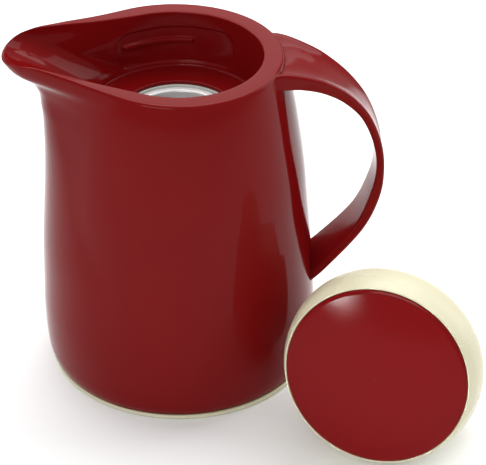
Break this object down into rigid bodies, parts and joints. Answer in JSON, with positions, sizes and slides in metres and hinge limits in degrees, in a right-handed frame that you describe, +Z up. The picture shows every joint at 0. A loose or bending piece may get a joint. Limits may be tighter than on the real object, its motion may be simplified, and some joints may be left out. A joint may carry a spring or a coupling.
{
  "type": "insulated serving jug",
  "caption": "Insulated serving jug with a beak spout, ribbon loop handle, glass vacuum liner and screw base, its round stopper lid lying beside it.",
  "frame": {"origin": "on the table at the vertical axis of the jug, in the plane its foot pads stand on", "axes": "+Z up along the axis of the jug and its neck, +X toward the handle, -X toward the spout, -Y toward the side where the lid lies"},
  "size_m": [0.2621, 0.2128, 0.1998],
  "materials": {
    "red_gloss": "deep red, high gloss",
    "cream_gloss": "cream, gloss",
    "silvered_glass": "silvered glass",
    "clear_glass": "silvered glass, seen from inside",
    "pale_silicone": "matt silicone",
    "grey_rubber": "matt rubber",
    "white_foam": "expanded foam",
    "fibre_pad": "pressed mineral fibre",
    "white_plastic": "satin",
    "screw_steel": "zinc plated"
  },
  "bodies": {
    "jug": {"housing": "red_gloss", "handle": "red_gloss", "neck_gasket": "pale_silicone", "liner_inner_flask": "clear_glass", "liner_outer_flask": "silvered_glass", "liner_spacers": "fibre_pad", "liner_tip_protector": "grey_rubber", "shoulder_ring": "white_foam", "centring_ring": "white_foam"},
    "base": {"base_cover": "cream_gloss", "liner_cushion": "grey_rubber", "foot_pads": "grey_rubber"},
    "lid_ring": {"lid_ring_gasket": "pale_silicone"},
    "lid": {"lid_disc": "red_gloss", "lid_shell": "cream_gloss", "lid_plug": "cream_gloss", "lid_plug_cap": "white_plastic", "lid_foam": "white_foam", "lid_mouth_seal": "pale_silicone", "lid_screws": "screw_steel"}
  },
  "joints": [
    {"name": "base_turn", "type": "hinge", "parent": "jug", "child": "base", "pos_m": [0, 0, 0], "axis": [0, 0, 1], "range_deg": [0, 45]},
    {"name": "lid_lift", "type": "slide", "parent": "jug", "child": "lid_ring", "axis": [0, 0, 1], "range_m": [0, 0.2]},
    {"name": "lid_turn", "type": "hinge", "parent": "lid_ring", "child": "lid", "pos_m": [0.11, -0.0984, 0.05416], "axis": [-0.3378, -0.9182, 0.2071], "range_deg": [0, 180]}
  ]
}
